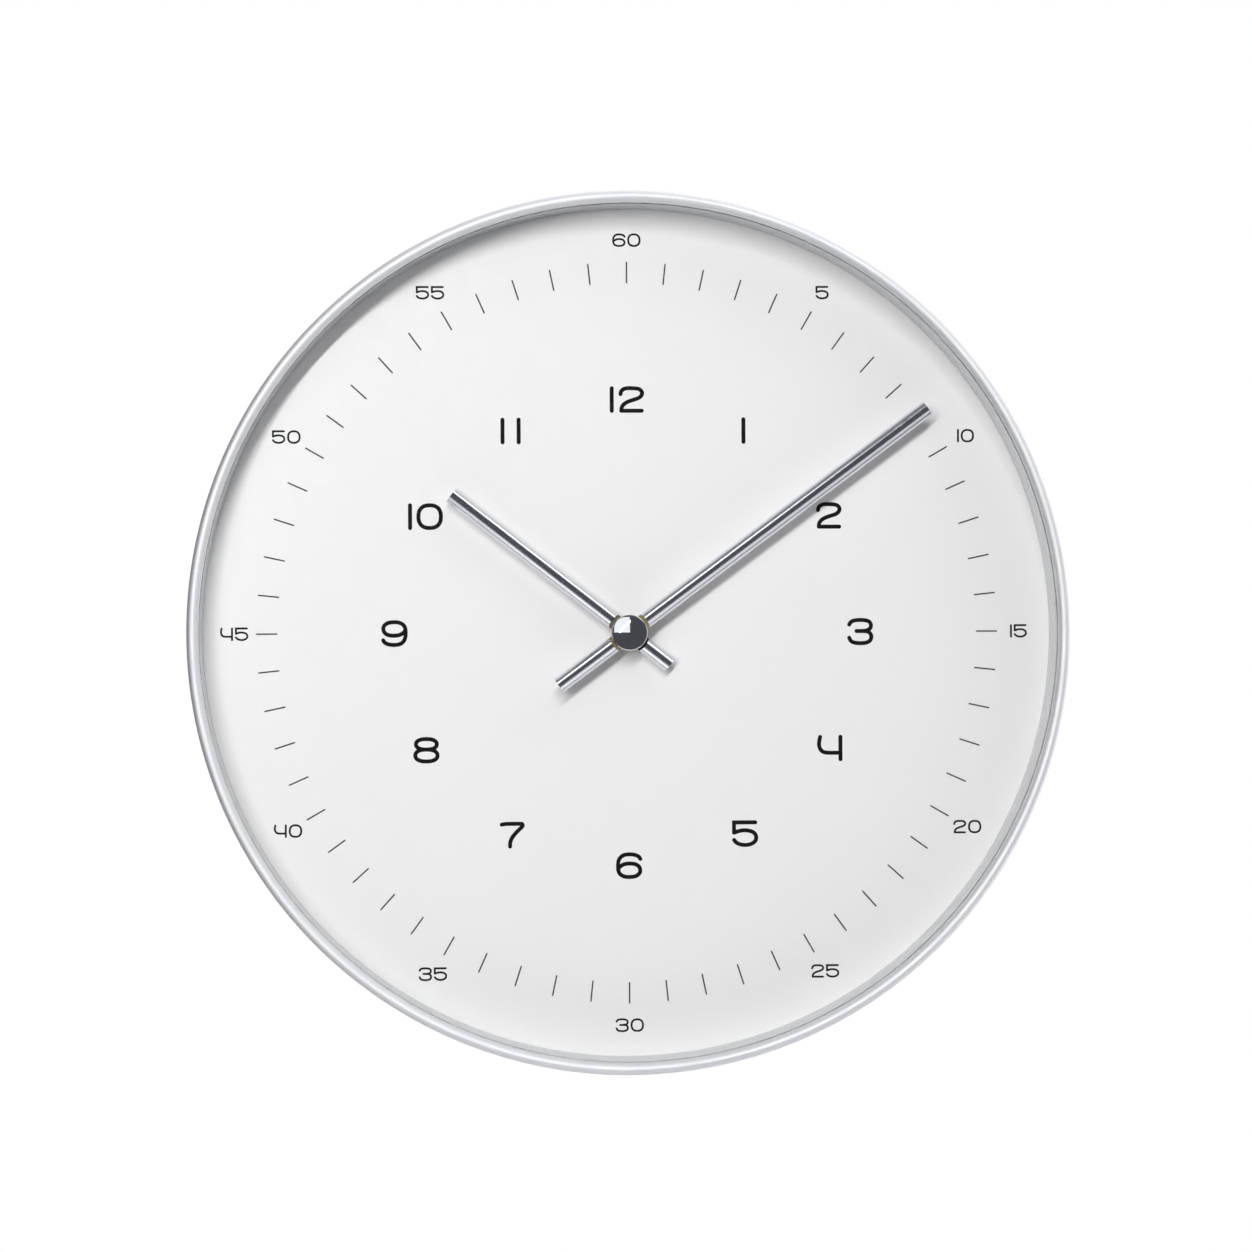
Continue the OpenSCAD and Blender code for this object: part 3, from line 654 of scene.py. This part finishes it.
def add_world():
    """White for the camera. Otherwise a tent that is dark behind the camera and on the lower left."""
    world = bpy.data.worlds.new("studio")
    bpy.context.scene.world = world
    world.use_nodes = True
    nodes, links = world.node_tree.nodes, world.node_tree.links
    nodes.clear()

    def add(kind, **settings):
        node = nodes.new("ShaderNode" + kind)
        for key, value in settings.items():
            setattr(node, key, value)
        return node

    place = add("TexCoord")

    def towards(direction, low, high):
        dot = add("VectorMath", operation="DOT_PRODUCT")
        links.new(place.outputs["Generated"], dot.inputs[0])
        dot.inputs[1].default_value = Vector(direction).normalized()
        ramp = add("MapRange", interpolation_type="SMOOTHSTEP")
        links.new(dot.outputs["Value"], ramp.inputs["Value"])
        ramp.inputs["From Min"].default_value = low
        ramp.inputs["From Max"].default_value = high
        return ramp.outputs[0]

    def mixed(share, a, b):
        node = add("Mix", data_type="RGBA")
        links.new(share, node.inputs[0])
        for socket, value in ((node.inputs[6], a), (node.inputs[7], b)):
            if isinstance(value, tuple):
                socket.default_value = (*value, 1)
            else:
                links.new(value, socket)
        return node.outputs[2]

    bright_side = towards((0.8, 0, 0.6), -0.2, 0.65)
    sides = mixed(bright_side, *TENT_SIDES)
    behind = mixed(bright_side, *TENT_BEHIND)
    tent = mixed(towards((0, -1, 0), 0.5, 0.8), sides, TENT_FRONT)
    tent = mixed(towards((0, 1, 0), -0.3, 0.05), tent, behind)
    seen, lit, out = add("Background"), add("Background"), add("OutputWorld")
    seen.inputs["Color"].default_value = (1, 1, 1, 1)
    links.new(tent, lit.inputs["Color"])
    choose = add("MixShader")
    links.new(add("LightPath").outputs["Is Camera Ray"], choose.inputs[0])
    links.new(lit.outputs[0], choose.inputs[1])
    links.new(seen.outputs[0], choose.inputs[2])
    links.new(choose.outputs[0], out.inputs["Surface"])


def add_floor():
    bm = bmesh.new()
    bmesh.ops.create_grid(bm, x_segments=1, y_segments=1, size=FLOOR_HALF)
    mesh = bpy.data.meshes.new("floor")
    bm.to_mesh(mesh)
    bm.free()
    floor = bpy.data.objects.new("floor", mesh)
    bpy.context.scene.collection.objects.link(floor)
    floor.location = FLOOR_AT
    k = Look("pale_floor", (0.8, 0.8, 0.8), 0.7)
    k.rough(k.noise(60), 0.6, 0.8)
    mesh.materials.append(k.material)


def add_lights():
    key_at = (KEY_SLOPE[0] * KEY_AWAY, -DIAL_FRONT - KEY_AWAY, KEY_SLOPE[1] * KEY_AWAY)
    key = add_light("key", key_at, 29.0, 1.24, 0.072)
    key.rotation_euler = (math.radians(90), math.radians(KEY_TURN), 0)
    softbox = add_light("softbox", SOFTBOX_AT, 3.3, 1.0, 1.0, towards=SOFTBOX_AT * Vector((1, 0, 1)))
    add_light("side_softbox", from_clock(48, 42, 1.5), 1.9, 0.7, 0.7)
    # The rods have reflections of their own: a soft light at the upper left, and a wide pale panel below.
    rods = [NODES["hour_hand"], NODES["minute_hand"]]
    keep_light(key, rods, "EXCLUDE")
    keep_light(softbox, rods, "EXCLUDE")
    keep_light(add_light("rod_light", (-0.5, -1.0, 0.67), 1.3, 0.5), rods, "INCLUDE")
    keep_light(add_light("rod_panel", (-0.1, -0.7, -0.8), 5.1, 2.6, 1.0), rods, "INCLUDE")


add_camera()
add_world()
add_floor()
add_lights()
bpy.context.scene.view_settings.view_transform = "Standard"
